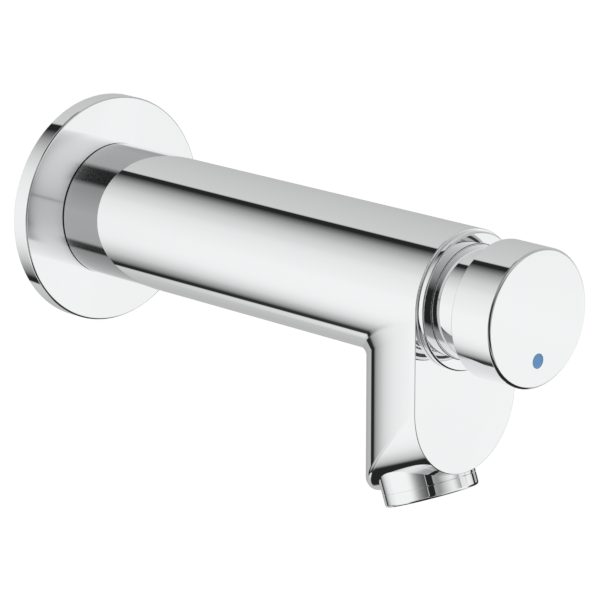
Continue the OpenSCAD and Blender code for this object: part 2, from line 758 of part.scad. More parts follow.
module piston_circlip() {
    inner_r = stem_r - circlip_depth + seat_play;
    color("lightgray") ring(inner_r + circlip_w, inner_r, piston_front, piston_front + circlip_t);
}

module valve_holder() {
    rim_r = washer_d / 2 + seat_play;
    outer_r = rim_r + holder_wall;
    hole_r = stem_tail_r + seat_play;
    rim_front = washer_back + washer_t / 2;
    color("goldenrod") turned([[hole_r, holder_back], [outer_r, holder_back], [outer_r, rim_front],
        [rim_r, rim_front], [rim_r, washer_back], [hole_r, washer_back]]);
}

module valve_washer() {
    color("black") ring(washer_d / 2, stem_tail_r + seat_play, washer_back, washer_front);
}

module valve_nut() {
    color("lightgray") out_of_wall() translate([0, 0, valve_nut_back]) difference() {
        cylinder(r = valve_nut_af / sqrt(3), h = valve_nut_t, $fn = 6);
        translate([0, 0, -1]) cylinder(r = stem_tail_r + seat_play, h = valve_nut_t + 2);
    }
}

wall_flange();
flange_seal();
tap_body();
inlet_nipple();
nipple_o_ring();
strainer_frame();
strainer_mesh();
cartridge_housing();
housing_o_rings();
valve_seat();
seat_gasket();
stem_seal();
seal_retainer();
metering_pin();
guide_sleeve();
stem_bush();
front_collar();
guide_ring();
return_spring();
aerator_housing();
aerator_gasket();
aerator_insert();
aerator_strainer();
aerator_grid();
push_button();
cold_marker();
button_insert();
plunger_stem();
piston();
piston_lip_seal();
piston_circlip();
valve_holder();
valve_washer();
valve_nut();
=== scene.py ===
import math

import bmesh
import bpy
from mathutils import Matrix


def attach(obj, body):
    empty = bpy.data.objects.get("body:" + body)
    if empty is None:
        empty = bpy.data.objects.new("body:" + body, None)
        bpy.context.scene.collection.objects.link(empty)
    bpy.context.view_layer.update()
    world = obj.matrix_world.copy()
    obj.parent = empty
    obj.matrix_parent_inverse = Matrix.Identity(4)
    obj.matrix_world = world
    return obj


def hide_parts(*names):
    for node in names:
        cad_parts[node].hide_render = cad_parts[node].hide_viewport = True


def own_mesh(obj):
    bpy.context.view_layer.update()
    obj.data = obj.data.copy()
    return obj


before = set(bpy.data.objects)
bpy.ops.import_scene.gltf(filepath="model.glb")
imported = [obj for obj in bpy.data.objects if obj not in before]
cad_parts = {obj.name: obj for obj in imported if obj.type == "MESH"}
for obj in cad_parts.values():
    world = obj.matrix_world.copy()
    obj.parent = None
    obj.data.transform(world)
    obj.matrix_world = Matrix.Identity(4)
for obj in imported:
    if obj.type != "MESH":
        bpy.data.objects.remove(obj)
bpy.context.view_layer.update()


# Camera: a long lens at the front left of the tap, a little above it and looking down along it,
# as in the photograph.
bpy.ops.object.camera_add(location=(-0.6512, -0.7663, 0.2430),
                          rotation=(math.radians(74.762), 0, math.radians(-43.860)))
camera = bpy.context.object
camera.data.sensor_width = 36
camera.data.lens = 199.94
bpy.context.scene.camera = camera
bpy.context.scene.view_settings.view_transform = "Standard"


# Light tent: white cloth round the tap. Seen along the tube, its left half is a soft light that
# fades to black at its upper and lower edge, and its right half is pale grey. It has dark gaps
# straight below, low before the tap, and at its left and right.
def grey(shade):
    return shade, shade, shade, 1


class Value:
    """A socket of a shader tree, which takes part in sums like a number."""

    def __init__(self, tree, socket=None):
        self.tree = tree
        self.socket = socket

    def node(self, kind, settings=(), inputs=(), output=0):
        made = self.tree.nodes.new("ShaderNode" + kind)
        for name, setting in dict(settings).items():
            if name == "stops":
                while len(made.color_ramp.elements) < len(setting):
                    made.color_ramp.elements.new(1)
                for element, (place, shade) in zip(made.color_ramp.elements, setting):
                    element.position = place
                    element.color = grey(shade)
            else:
                setattr(made, name, setting)
        for name, value in dict(inputs).items():
            if isinstance(value, Value):
                self.tree.links.new(value.socket, made.inputs[name])
            else:
                made.inputs[name].default_value = value
        return Value(self.tree, made.outputs[output] if made.outputs else None)

    def maths(self, operation, first, second=0.0):
        return self.node("Math", {"operation": operation}, {0: first, 1: second})

    def split(self, axes):
        """The coordinates of this point along some axes."""
        return [self.node("SeparateXYZ", {}, {0: self}, axis) for axis in axes]

    def step(self, start, end):
        """Rises softly from 0 at start to 1 at end."""
        return self.node("MapRange", {"interpolation_type": "SMOOTHSTEP"},
                         {0: self, 1: start, 2: end})

    def mix(self, first, second):
        """A colour that goes from first, where this value is 0, to second, where it is 1."""
        return self.node("Mix", {"data_type": "RGBA"}, {0: self, 6: first, 7: second}, 2)

    def ramp(self, shades):
        """Goes through shades that are given at rising values of this one."""
        first, last = shades[0][0], shades[-1][0]
        stops = [((place - first) / (last - first), shade) for place, shade in shades]
        return self.node("ValToRGB", {"stops": stops}, {0: (self - first) * (1 / (last - first))})

    def noise(self, scale, detail=2.0, roughness=0.5):
        """Cloudy noise at this point."""
        return self.node("TexNoise", {}, {"Vector": self, "Scale": scale, "Detail": detail,
                                          "Roughness": roughness})

    def lines(self):
        """Noise that changes along this value only."""
        return self.node("TexNoise", {"noise_dimensions": "1D"}, {"W": self})

    def bump(self, strength, distance):
        """A normal that leans with the slope of this value."""
        return self.node("Bump", {}, {"Strength": strength, "Distance": distance, "Height": self})

    def surface(self, inputs):
        """Ends a material's tree with a Principled surface."""
        self.node("OutputMaterial", {}, {"Surface": self.node("BsdfPrincipled", {}, inputs)})

    def __add__(self, other):
        return self.maths("ADD", self, other)

    def __radd__(self, other):
        return self.maths("ADD", other, self)

    def __sub__(self, other):
        return self.maths("SUBTRACT", self, other)

    def __rsub__(self, other):
        return self.maths("SUBTRACT", other, self)

    def __mul__(self, other):
        return self.maths("MULTIPLY", self, other)

    def __rmul__(self, other):
        return self.maths("MULTIPLY", other, self)


tent = bpy.data.worlds.new("tent")
tent.use_nodes = True
tent.node_tree.nodes.clear()
bpy.context.scene.world = tent
sky = Value(tent.node_tree)
x, y, z = sky.node("TexCoord", output="Generated").split("XYZ")
swing = 0.45 * sky.maths("MAXIMUM", y - 0.70, 0.0) + 0.13 * y.step(0.62, 0.50)
turn = sky.maths("ARCTAN2", z, x - swing) * math.degrees(1)
behind = turn.ramp([
    (-180, 0.97), (-155, 0.96), (-146, 0.92), (-138, 0.84), (-130, 0.72), (-123, 0.60),
    (-116, 0.42), (-110, 0.29), (-104, 0.10), (-102, 0.02), (-94.5, 0.02), (-94, 0.64),
    (-60, 0.52), (-20, 0.50), (20, 0.57), (88.5, 0.67), (89, 0.02), (97, 0.02), (100, 0.09),
    (103, 0.165), (110, 0.36), (117.5, 0.51), (124, 0.63), (130, 0.71), (137.5, 0.775),
    (143, 0.84), (150, 0.89), (165, 0.94), (180, 0.97)])
ahead = turn.ramp([
    (-180, 0.46), (-142, 0.44), (-136, 0.42), (-131, 0.04), (-121, 0.02), (-117, 0.28),
    (-94, 0.40), (-62, 0.58), (-52, 0.70), (-44, 1.0), (10, 0.95), (20, 0.40), (50, 0.46),
    (100, 0.44), (109, 0.02), (133, 0.02), (141, 0.30), (165, 0.40), (180, 0.46)])
beside_leg = (x - swing).ramp([
    (-1, 0.98), (-0.66, 0.97), (-0.54, 0.92), (-0.48, 0.87), (-0.42, 0.81), (-0.35, 0.72),
    (-0.27, 0.57), (-0.17, 0.40), (-0.12, 0.28), (-0.085, 0.08), (-0.065, 0.02), (0.045, 0.02),
    (0.06, 0.50), (0.16, 0.50), (0.4, 0.44), (0.6, 0.41), (1, 0.41)])
under = z.step(0.1, -0.1)
behind = (y.step(0.75, 0.79) * under).mix(behind, beside_leg)
lift = sky.maths("MINIMUM", sky.maths("MAXIMUM", 9.82 - 12.0 * y, 1.0), 2.6)
lifted = 1.0 - sky.maths("POWER", 1.0 - behind, lift)
behind = (under * x.step(0.15, 0.05)).mix(behind, lifted)
pole = sky.maths("SQRT", x * x + z * z).step(0.35, 0.62)
lens_side = x.step(-0.75, 0.30).mix(grey(0.08), grey(0.93))
cloth = y.step(0.1, -0.45).mix(behind, pole.mix(lens_side, ahead))
opening = z.step(-0.72, -0.78) * y.step(0.62, 0.56) * x.step(-0.12, -0.04)
well = (z.step(-0.28, -0.40) * y.step(0.12, -0.02) * y.step(-0.68, -0.60)
        * x.step(0.15, 0.0) * x.step(-0.72, -0.60))
left_gap = (z.step(-0.26, -0.12) * z.step(0.50, 0.35) * y.step(0.0, -0.85)
            * y.step(-0.70, -0.65) * x.step(-0.45, -0.65))
low = z.step(-0.12, -0.20)
right_gap = ((y - 0.45 * low).step(0.05, 0.0) * (y + 0.38 * low).step(-0.17, -0.12)
             * x.step(0.75, 0.85) * z.step(0.30, 0.15))
dark = opening
for gap in (well, left_gap, right_gap):
    dark = sky.maths("MAXIMUM", dark, gap)
cloth = dark.mix(cloth, grey(0.02))
to_camera = sky.node("LightPath", output="Is Camera Ray")
light = sky.node("MixShader", {}, {0: to_camera, 1: sky.node("Background", {}, {"Color": cloth}),
                                   2: sky.node("Background", {}, {"Color": grey(1)})})
sky.node("OutputWorld", {}, {"Surface": light})


# Floor: white paper, far enough below the tap to leave its underside in view.
def finish_of(name):
    """A new material, the maker of its nodes, and its points in the object's own frame."""
    material = bpy.data.materials.new(name)
    material.use_nodes = True
    material.node_tree.nodes.clear()
    maker = Value(material.node_tree)
    return material, maker, maker.node("TexCoord", output="Object")


bpy.ops.object.select_all(action="DESELECT")
bpy.ops.mesh.primitive_plane_add(size=40, location=(0, 0, -0.9))
floor = bpy.context.object
floor.name = "floor"
floor.visible_glossy = False
paper, maker, place = finish_of("floor_paper")
fibre = place.noise(900.0)
maker.surface({"Base Color": fibre.mix(grey(0.88), grey(0.92)), "Roughness": 0.9,
               "Emission Color": grey(1), "Emission Strength": 0.6})
floor.data.materials.append(paper)


# Ring reflector: a round card before the tap, white at its right and black at its left beside the
# lens, with a light rim. It draws the dark lines along the button's and the collar's edges, and its
# rim lights the flange's face.
card_before = 0.5
card_inner_r = 0.26
card_rim_r = 0.428
card_outer_r = 0.455
rim_blur = 0.004


def circle(name, radius, place, around):
    """Starts a piece as a ring round the tube's axis, at a distance from the wall, in edit mode."""
    bpy.ops.object.select_all(action="DESELECT")
    bpy.ops.mesh.primitive_circle_add(vertices=around, radius=radius, location=(0, -place, 0),
                                      rotation=(math.pi / 2, 0, 0))
    piece = bpy.context.object
    piece.name = piece.data.name = name
    bpy.ops.object.transform_apply()
    bpy.ops.object.mode_set(mode="EDIT")
    bpy.ops.mesh.select_all(action="SELECT")
    return piece


def draw_out(along, wider):
    """Extrudes the last ring along the tube's axis and widens it."""
    bpy.ops.mesh.extrude_region_move(TRANSFORM_OT_translate={"value": (0, along, 0)})
    bpy.ops.transform.resize(value=(wider, 1, wider), center_override=(0, 0, 0))


card = circle("ring_reflector", card_inner_r, card_before, around=128)
draw_out(0, card_outer_r / card_inner_r)
bpy.ops.object.mode_set(mode="OBJECT")
for seen_by in ("camera", "diffuse", "shadow", "transmission", "volume_scatter"):
    setattr(card, "visible_" + seen_by, False)
board, maker, place = finish_of("reflector_board")
x, z = place.split("XZ")
turn = maker.maths("ARCTAN2", z, x) * math.degrees(1)
shade = turn.ramp([
    (-180, 0.02), (-136, 0.02), (-122, 0.30), (-104, 0.38), (-96, 0.85), (-60, 0.95), (-20, 1.0),
    (20, 0.80), (60, 0.60), (110, 0.40), (132, 0.28), (158, 0.02), (180, 0.02)])
rim_shade = turn.ramp([
    (-180, 0.60), (-150, 0.64), (-128, 0.72), (-105, 0.80), (-70, 0.92), (-50, 1.0), (10, 1.0),
    (40, 0.85), (120, 0.78), (152, 0.70), (168, 0.60), (170.5, 0.43), (172.5, 0.43), (175, 0.58),
    (180, 0.60)])
rim = maker.maths("SQRT", x * x + z * z).step(card_rim_r - rim_blur, card_rim_r + rim_blur)
glow = maker.node("Emission", {}, {"Color": rim.mix(shade, rim_shade)})
maker.node("OutputMaterial", {}, {"Surface": glow})
card.data.materials.append(board)


# Wall flange: a disc turned from brass, polished and chromed, with a finer grain left on its face.
# It covers the pipe's opening in the wall and is held by the tube that is screwed up against it.
flange_r = 0.035
flange_t = 0.0059
flange_bore_r = 0.0142
groove_r = 0.032
groove_inner_r = 0.025
groove_t = 0.0025

facets = 192
near = 1e-5
touching = 1e-6
axis_r = 3e-7


def work_on(piece):
    bpy.ops.object.select_all(action="DESELECT")
    piece.select_set(True)
    bpy.context.view_layer.objects.active = piece


def lathe(name, profile, around=facets):
    """Turns a piece from a closed profile of (radius, distance from the wall)."""
    profile = [(max(radius, axis_r), place) for radius, place in profile]
    radius, place = profile[0]
    piece = circle(name, radius, place, around)
    for next_radius, next_place in profile[1:] + profile[:1]:
        draw_out(place - next_place, next_radius / radius)
        radius, place = next_radius, next_place
    bpy.ops.mesh.select_all(action="SELECT")
    bpy.ops.mesh.remove_doubles(threshold=touching)
    bpy.ops.mesh.delete_loose()
    bpy.ops.mesh.select_all(action="SELECT")
    bpy.ops.mesh.normals_make_consistent(inside=False)
    bpy.ops.object.mode_set(mode="OBJECT")
    return piece


def pick(piece, kind, test):
    """Goes into edit mode with those edges or faces selected that pass a test."""
    work_on(piece)
    bpy.ops.object.mode_set(mode="EDIT")
    bpy.ops.mesh.select_mode(type=kind)
    bpy.ops.mesh.select_all(action="DESELECT")
    mesh = bmesh.from_edit_mesh(piece.data)
    for part in mesh.edges if kind == "EDGE" else mesh.faces:
        part.select_set(test(part))
    bmesh.update_edit_mesh(piece.data)


def on_rings(*rings):
    """A test for edges that lie on rings of (radius, distance from the wall)."""
    def on_ring(point, radius, place):
        return abs(math.hypot(point.x, point.z) - radius) < near and abs(-point.y - place) < near
    return lambda edge: any(all(on_ring(end.co, *ring) for end in edge.verts) for ring in rings)


def round_edges(piece, test, width, segments=4, profile=0.5):
    pick(piece, "EDGE", test)
    bpy.ops.mesh.bevel(offset=width, segments=segments, profile=profile, affect="EDGES",
                       clamp_overlap=True)
    bpy.ops.object.mode_set(mode="OBJECT")


def polish(piece, finish):
    """Shades a piece so that large faces stay true and only rounded edges bend the light."""
    work_on(piece)
    bpy.ops.object.shade_smooth_by_angle(angle=math.radians(40))
    bpy.ops.object.modifier_add(type="WEIGHTED_NORMAL")
    piece.modifiers[-1].keep_sharp = True
    bpy.ops.object.modifier_apply(modifier=piece.modifiers[-1].name)
    piece.data.materials.clear()
    piece.data.materials.append(finish)


def finish_part(piece, finish, test):
    """Gives a second finish to those faces whose middle passes a test."""
    piece.data.materials.append(finish)
    for face in piece.data.polygons:
        face.material_index = int(test(face.center))


def plated(name, scale, detail, least, spread):
    """Chrome with a cloudy haze, whose roughness goes up from the least by the spread."""
    finish, maker, place = finish_of(name)
    haze = place.noise(scale, detail, 0.6)
    maker.surface({"Base Color": (0.885, 0.895, 0.90, 1), "Metallic": 1.0,
                   "Roughness": least + spread * haze})
    return finish


chrome = plated("chrome", scale=60.0, detail=4.0, least=0.012, spread=0.016)
grained_chrome = plated("grained_chrome", scale=90.0, detail=5.0, least=0.045, spread=0.02)

flange = lathe("flange_disc", [
    (flange_bore_r, 0), (groove_inner_r, 0), (groove_inner_r, groove_t), (groove_r, groove_t),
    (groove_r, 0), (flange_r, 0), (flange_r, flange_t), (flange_bore_r, flange_t)], around=256)
round_edges(flange, on_rings((flange_r, flange_t)), width=0.0006, segments=5, profile=0.4)
round_edges(flange, on_rings((flange_r, 0), (flange_bore_r, 0), (groove_r, 0), (groove_inner_r, 0)),
            width=0.0003, segments=3)
polish(flange, chrome)
finish_part(flange, grained_chrome, lambda middle: middle.y < -flange_t + near)
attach(flange, "fixed_body")
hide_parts("wall_flange")


# Foam ring: a flat ring of closed-cell foam, pressed into the groove behind the flange so that no
# splashes run down behind it.
foam_gap = 0.0001
foam_r = groove_r - foam_gap
foam_inner_r = groove_inner_r + foam_gap
foam_t = groove_t - foam_gap
foam, maker, place = finish_of("foam")
cells = maker.node("TexVoronoi", {}, {"Vector": place, "Scale": 2600.0})
tone = place.noise(500.0)
maker.surface({"Base Color": tone.mix((0.055, 0.056, 0.06, 1), (0.095, 0.096, 0.10, 1)),
               "Roughness": 0.85 - 0.1 * tone, "Normal": cells.bump(0.6, 0.0002)})
foam_ring = lathe("foam_ring", [
    (foam_inner_r, 0), (foam_r, 0), (foam_r, foam_t), (foam_inner_r, foam_t)])
round_edges(foam_ring, on_rings((foam_inner_r, 0), (foam_r, 0)), width=0.0006, segments=5)
polish(foam_ring, foam)
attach(foam_ring, "fixed_body")
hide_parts("flange_seal")


# Inlet connector: turned from brass hexagon bar, with a half-inch pipe thread cut for the wall and
# a plain thread that holds the tube. The hexagon takes the spanner and sits inside the flange.
inlet_len = 0.018
inlet_bore_r = 0.006
shoulder = 0.003
nipple_r = 0.0119
nipple_end = 0.0199

thread_r = 0.010475
thread_root_r = 0.0094
thread_pitch = 0.001814
thread_crest = 0.08 * thread_pitch
thread_foot = 0.45 * thread_pitch
thread_sunk_r = thread_root_r - 0.0002
thread_start = 0.0008
fade_start = 0.0002
fade_in = 0.0014
fade_out = 0.0016
faded_r = thread_root_r - 0.0003

hexagon_r = 0.013856
hexagon_back = 0.00035
chamfer_r = 0.0121
chamfer_end_r = hexagon_r + 0.0005
chamfer_t = 0.0012
hexagon_past = 0.007


def trim(piece, tool, operation):
    """Cuts a piece with a tool shape, or keeps what they share, and throws the tool away."""
    work_on(piece)
    bpy.ops.object.modifier_add(type="BOOLEAN")
    piece.modifiers[-1].operation = operation
    piece.modifiers[-1].solver = "EXACT"
    piece.modifiers[-1].object = tool
    bpy.ops.object.modifier_apply(modifier=piece.modifiers[-1].name)
    bpy.data.objects.remove(tool)


def join(*pieces):
    """Makes one object of several, under the first one's name."""
    work_on(pieces[0])
    for piece in pieces:
        piece.select_set(True)
    bpy.ops.object.join()
    return pieces[0]


def rod(name, radius, start, end, around=facets):
    """A round bar on the tube's axis, between two distances from the wall."""
    return lathe(name, [(0, start), (radius, start), (radius, end), (0, end)], around)


def wind(name, corners, middle, pitch, turns, steps):
    """Winds a closed section round the tube's axis as a helix, and closes its two ends."""
    bpy.ops.object.select_all(action="DESELECT")
    bpy.ops.mesh.primitive_circle_add(vertices=len(corners), radius=0.001)
    piece = bpy.context.object
    piece.name = piece.data.name = name
    for point, (radius, along) in zip(piece.data.vertices, corners):
        point.co = (radius, middle + along, 0)
    bpy.ops.object.modifier_add(type="SCREW")
    screw = piece.modifiers[-1]
    screw.axis = "Y"
    screw.screw_offset = pitch
    screw.iterations = turns
    screw.steps = screw.render_steps = steps
    bpy.ops.object.modifier_apply(modifier=screw.name)
    pick(piece, "EDGE", lambda edge: edge.is_boundary)
    bpy.ops.mesh.edge_face_add()
    bpy.ops.mesh.select_all(action="SELECT")
    bpy.ops.mesh.normals_make_consistent(inside=False)
    bpy.ops.object.mode_set(mode="OBJECT")
    return piece


brass, maker, place = finish_of("turned_brass")
x, y, z = place.split("XYZ")
tool_marks = (y * 9000.0 + 2500.0 * maker.maths("SQRT", x * x + z * z)).lines()
tarnish = place.noise(220.0, 5.0)
maker.surface({"Base Color": tarnish.mix((0.66, 0.45, 0.17, 1), (0.80, 0.60, 0.30, 1)),
               "Metallic": 1.0, "Roughness": 0.20 + 0.14 * tarnish,
               "Normal": tool_marks.bump(0.25, 0.00004)})

connector = lathe("inlet_connector", [
    (inlet_bore_r, -inlet_len), (thread_root_r, -inlet_len), (thread_root_r, shoulder),
    (nipple_r, shoulder), (nipple_r, nipple_end), (inlet_bore_r, nipple_end)], around=128)
round_edges(connector, on_rings((inlet_bore_r, -inlet_len), (thread_root_r, -inlet_len)),
            width=0.0004, segments=3)
ridge = wind("thread_ridge", [
    (thread_sunk_r, -thread_foot), (thread_r, -thread_crest), (thread_r, thread_crest),
    (thread_sunk_r, thread_foot)], thread_start, thread_pitch, turns=9, steps=72)
for point in ridge.data.vertices:
    reach = min(1, (inlet_len - point.co.y) / fade_out, (point.co.y - fade_start) / fade_in)
    around = math.hypot(point.co.x, point.co.z)
    lower = min(around, faded_r + max(reach, 0) * (thread_r - faded_r)) / around
    point.co.x *= lower
    point.co.z *= lower
bpy.ops.object.select_all(action="DESELECT")
bpy.ops.mesh.primitive_cylinder_add(vertices=6, radius=hexagon_r, depth=flange_t - hexagon_back,
                                    location=(0, -(flange_t + hexagon_back) / 2, 0),
                                    rotation=(math.pi / 2, math.pi / 6, 0))
hexagon = bpy.context.object
bpy.ops.object.transform_apply()
trim(hexagon, lathe("hexagon_chamfer", [
    (0, 0), (chamfer_r, 0), (chamfer_end_r, chamfer_t), (chamfer_end_r, hexagon_past),
    (0, hexagon_past)]), "INTERSECT")
trim(hexagon, rod("hexagon_bore", inlet_bore_r, -0.001, hexagon_past + 0.001), "DIFFERENCE")
connector = join(connector, ridge, hexagon)
polish(connector, brass)
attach(connector, "fixed_body")
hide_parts("inlet_nipple")


# Seals: the rubber rings and washers that are pressed into the grooves of the brass pieces.
def dress(finish, *names):
    for name in names:
        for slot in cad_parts[name].material_slots:
            slot.material = finish


rubber, maker, place = finish_of("rubber")
bloom = place.noise(400.0, 6.0)
grit = place.noise(4000.0)
maker.surface({"Base Color": bloom.mix((0.010, 0.010, 0.011, 1), (0.030, 0.030, 0.032, 1)),
               "Roughness": 0.45 + 0.3 * bloom, "Normal": grit.bump(0.2, 0.0001)})
dress(rubber, "nipple_o_ring", "housing_o_rings", "seat_gasket", "stem_seal", "piston_lip_seal",
      "valve_washer", "aerator_gasket")


# Strainers: fine woven steel wire, one round the inlet's plastic cage and one above the outlet's
# jets.
gauze, maker, place = finish_of("gauze")
warp, weft = (maker.maths("ABSOLUTE", maker.maths("SINE", along * 9000.0))
              for along in place.split("XY"))
wires = warp + weft
maker.surface({"Base Color": (0.5 * wires).mix(grey(0.08), (0.62, 0.62, 0.60, 1)),
               "Metallic": 1.0, "Roughness": 0.5 - 0.12 * wires,
               "Normal": wires.bump(0.5, 0.0001)})
dress(gauze, "strainer_mesh", "aerator_strainer")


# Plastic pieces: injection moulded. White ones carry the gauze, guide the stem and the neck, and
# form the jets; the grey one sits in the button and carries the stem.
def moulded(name, colour):
    plastic, maker, place = finish_of(name)
    flow = place.noise(160.0, 3.0)
    grain = place.noise(6000.0)
    darker = tuple(0.9 * channel for channel in colour)
    maker.surface({"Base Color": flow.mix((*darker, 1), (*colour, 1)),
                   "Roughness": 0.32 + 0.14 * flow, "Normal": grain.bump(0.12, 0.00004)})
    return plastic


white_plastic = moulded("white_plastic", (0.80, 0.80, 0.77))
grey_plastic = moulded("grey_plastic", (0.19, 0.19, 0.20))
dress(white_plastic, "strainer_frame", "stem_bush", "guide_ring", "aerator_insert",
      "seal_retainer", "piston")
dress(grey_plastic, "button_insert")


# Cartridge: the brass barrel of the self-closing valve, with its seat, and the plunger that the
# button pushes. The rod, its clip, its nut and the pin that keeps the timing hole clear are turned
# from stainless steel.
steel, maker, place = finish_of("turned_steel")
tool_marks = (place.split("Y")[0] * 12000.0).lines()
cloud = place.noise(300.0, 4.0)
maker.surface({"Base Color": cloud.mix(grey(0.52), (0.64, 0.64, 0.63, 1)), "Metallic": 1.0,
               "Roughness": 0.16 + 0.12 * tool_marks, "Normal": tool_marks.bump(0.15, 0.00003)})
dress(brass, "cartridge_housing", "valve_seat", "valve_holder")
dress(steel, "metering_pin", "plunger_stem", "piston_circlip", "valve_nut")


# Body: one brass casting, a straight tube with an oval spout leg at its front. It is bored for the
# cartridge and the outlet, ground until the leg runs out of the tube without a seam, polished and
# chromed. A thin band round its wall end is painted with the black rubber finish, as painted shade
# in the crevice against the flange.
tube_r = 0.02045
tube_front = 0.1555
body_edge = 0.0004
# Width of the band of painted shade round the wall end.
contact_shade_w = 0.0006

leg_depth = 0.0336
leg_blank = 0.16
leg_blank_low = 0.04
slant = math.radians(21.5)
sole_blank = 0.20
tongue_low = 0.02832
inner_fillet = 0.0020
side_fillet = 0.0034
sole_fillet = 0.000672
heel_fillet = 0.003108
widest_fillet = 0.0042

bore_start = 0.004
inlet_room_r = 0.0120
inlet_room_end = 0.0812
barrel_r = 0.01645
neck_back = 0.147
nut_r = 0.0180
bore_end = 0.158

outlet_back = 0.0232
outlet_r = 0.01375
outlet_sunk = 0.0055
outlet_gap = 0.00005
outlet_nut_r = 0.01205
outlet_nut_top = 0.0120
channel_r = 0.0092
channel_top = 0.017
outlet_past = 0.01

inner_fall = math.atan2(tube_r, leg_depth)
lower_fall = math.atan2(tube_r / math.cos(slant) + leg_depth * math.tan(slant), leg_depth)
corner = (0, -tube_front, 0)
low_corner = (0, -tube_front, -tongue_low)


def pipe(name, length, middle, tilt, depth=tube_r):
    """An open length of round or oval tube, turned about the x axis."""
    bpy.ops.object.select_all(action="DESELECT")
    bpy.ops.mesh.primitive_cylinder_add(
        vertices=facets, radius=tube_r, depth=length, end_fill_type="NOTHING", location=middle,
        rotation=(tilt, 0, 0), scale=(1, depth / tube_r, 1))
    bpy.ops.object.transform_apply()
    piece = bpy.context.object
    piece.name = piece.data.name = name
    return piece


def pick_faces(piece, test):
    """Goes into edit mode with those faces selected whose middle passes a test."""
    pick(piece, "FACE", lambda face: test(face.calc_center_median()))


def saw(piece, point, angle, test=lambda middle: True):
    """Cuts chosen faces along a plane through x, and drops the side that the angle points to."""
    pick_faces(piece, test)
    bpy.ops.mesh.bisect(plane_co=point, plane_no=(0, math.cos(angle), math.sin(angle)),
                        clear_outer=True, threshold=1e-7)
    bpy.ops.object.mode_set(mode="OBJECT")


def drop_faces(piece, test):
    pick_faces(piece, test)
    bpy.ops.mesh.delete(type="FACE")
    bpy.ops.object.mode_set(mode="OBJECT")


def rim_at(place):
    """A test for edges that lie at a distance from the wall."""
    return lambda edge: all(abs(end.co.y + place) < touching for end in edge.verts)


def cap(piece, test):
    """Closes an opening by a face whose border passes a test."""
    pick(piece, "EDGE", lambda edge: edge.is_boundary and test(edge))
    bpy.ops.mesh.edge_face_add()
    bpy.ops.object.mode_set(mode="OBJECT")


def above(point, low, fall):
    """How far a point is above a plane that falls towards the wall from the front face."""
    return (point.z + low) * math.cos(fall) + (point.y + tube_front) * math.sin(fall)


def on_mitre(edge, low, fall):
    return all(abs(above(end.co, low, fall)) < touching for end in edge.verts)


def clip(share):
    return min(1, max(0, share))


tube = pipe("body_casting", tube_front - flange_t, (0, -(tube_front + flange_t) / 2, 0),
            math.pi / 2)
saw(tube, corner, -math.pi / 2 - inner_fall, lambda middle: middle.z < 0)
leg = pipe("leg", leg_blank, (0, -tube_front, -leg_blank_low), 0, leg_depth)
drop_faces(leg, lambda middle: middle.y < -tube_front)
saw(leg, corner, math.pi / 2 - inner_fall)
saw(leg, low_corner, -math.pi / 2 - lower_fall)
sole = pipe("sole", sole_blank, (0, -tube_front, -tongue_low), math.pi / 2 - slant)
drop_faces(sole, lambda middle: above(middle, tongue_low, slant) > 0)
saw(sole, low_corner, math.pi / 2 - lower_fall)
saw(sole, corner, math.pi)

body = join(tube, leg, sole)
bpy.ops.object.mode_set(mode="EDIT")
bpy.ops.mesh.select_all(action="SELECT")
bpy.ops.mesh.remove_doubles(threshold=2 * touching)
bpy.ops.object.mode_set(mode="OBJECT")
cap(body, rim_at(tube_front))
cap(body, rim_at(flange_t))

mesh = bmesh.new()
mesh.from_mesh(body.data)
bmesh.ops.recalc_face_normals(mesh, faces=mesh.faces)
weight = mesh.edges.layers.float.new("bevel_weight_edge")
for edge in mesh.edges:
    back = ((edge.verts[0].co.y + edge.verts[1].co.y) / 2 + tube_front) / leg_depth
    if on_mitre(edge, 0, inner_fall):
        width = inner_fillet + (side_fillet - inner_fillet) * clip(2.4 - 4 * back)
        edge[weight] = width / widest_fillet * clip(5 * back - 0.2) ** 2
    elif on_mitre(edge, tongue_low, lower_fall):
        width = sole_fillet + (heel_fillet - sole_fillet) * clip(5 * back - 3.6)
        edge[weight] = width / widest_fillet * clip(9 * back - 0.4)
mesh.to_mesh(body.data)
mesh.free()
work_on(body)
bpy.ops.object.modifier_add(type="BEVEL")
fillet = body.modifiers[-1]
fillet.limit_method = "WEIGHT"
fillet.width = widest_fillet
fillet.segments = 8
fillet.use_clamp_overlap = False
bpy.ops.object.modifier_apply(modifier=fillet.name)
round_edges(body, rim_at(tube_front), body_edge, segments=4, profile=0.4)
round_edges(body, rim_at(flange_t), body_edge, segments=3)
trim(body, lathe("body_bore", [
    (0, bore_start), (inlet_room_r, bore_start), (inlet_room_r, inlet_room_end),
    (barrel_r, inlet_room_end), (barrel_r, neck_back), (nut_r, neck_back), (nut_r, bore_end),
    (0, bore_end)]), "DIFFERENCE")


def to_outlet(piece):
    """Moves a piece that was turned round the tube's axis to the outlet, its front face down."""
    work_on(piece)
    piece.rotation_euler = (math.pi / 2 - slant, 0, 0)
    piece.location = (0, -tube_front + outlet_back * math.cos(slant) - tube_r * math.sin(slant),
                      -tongue_low - outlet_back * math.sin(slant) - tube_r * math.cos(slant))
    bpy.ops.object.transform_apply()


outlet_bore = lathe("outlet_bore", [
    (0, -channel_top), (channel_r, -channel_top), (channel_r, -outlet_nut_top),
    (outlet_nut_r, -outlet_nut_top), (outlet_nut_r, -outlet_sunk),
    (outlet_r + outlet_gap, -outlet_sunk), (outlet_r + outlet_gap, outlet_past), (0, outlet_past)])
to_outlet(outlet_bore)
trim(body, outlet_bore, "DIFFERENCE")
polish(body, chrome)
# Painted shade: the band round the wall end takes the black rubber finish, standing in for the
# shade in the crevice against the flange.
finish_part(body, rubber, lambda middle: middle.y > -flange_t - body_edge
            and math.hypot(middle.x, middle.z) > tube_r - contact_shade_w)
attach(body, "fixed_body")
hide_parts("tap_body")


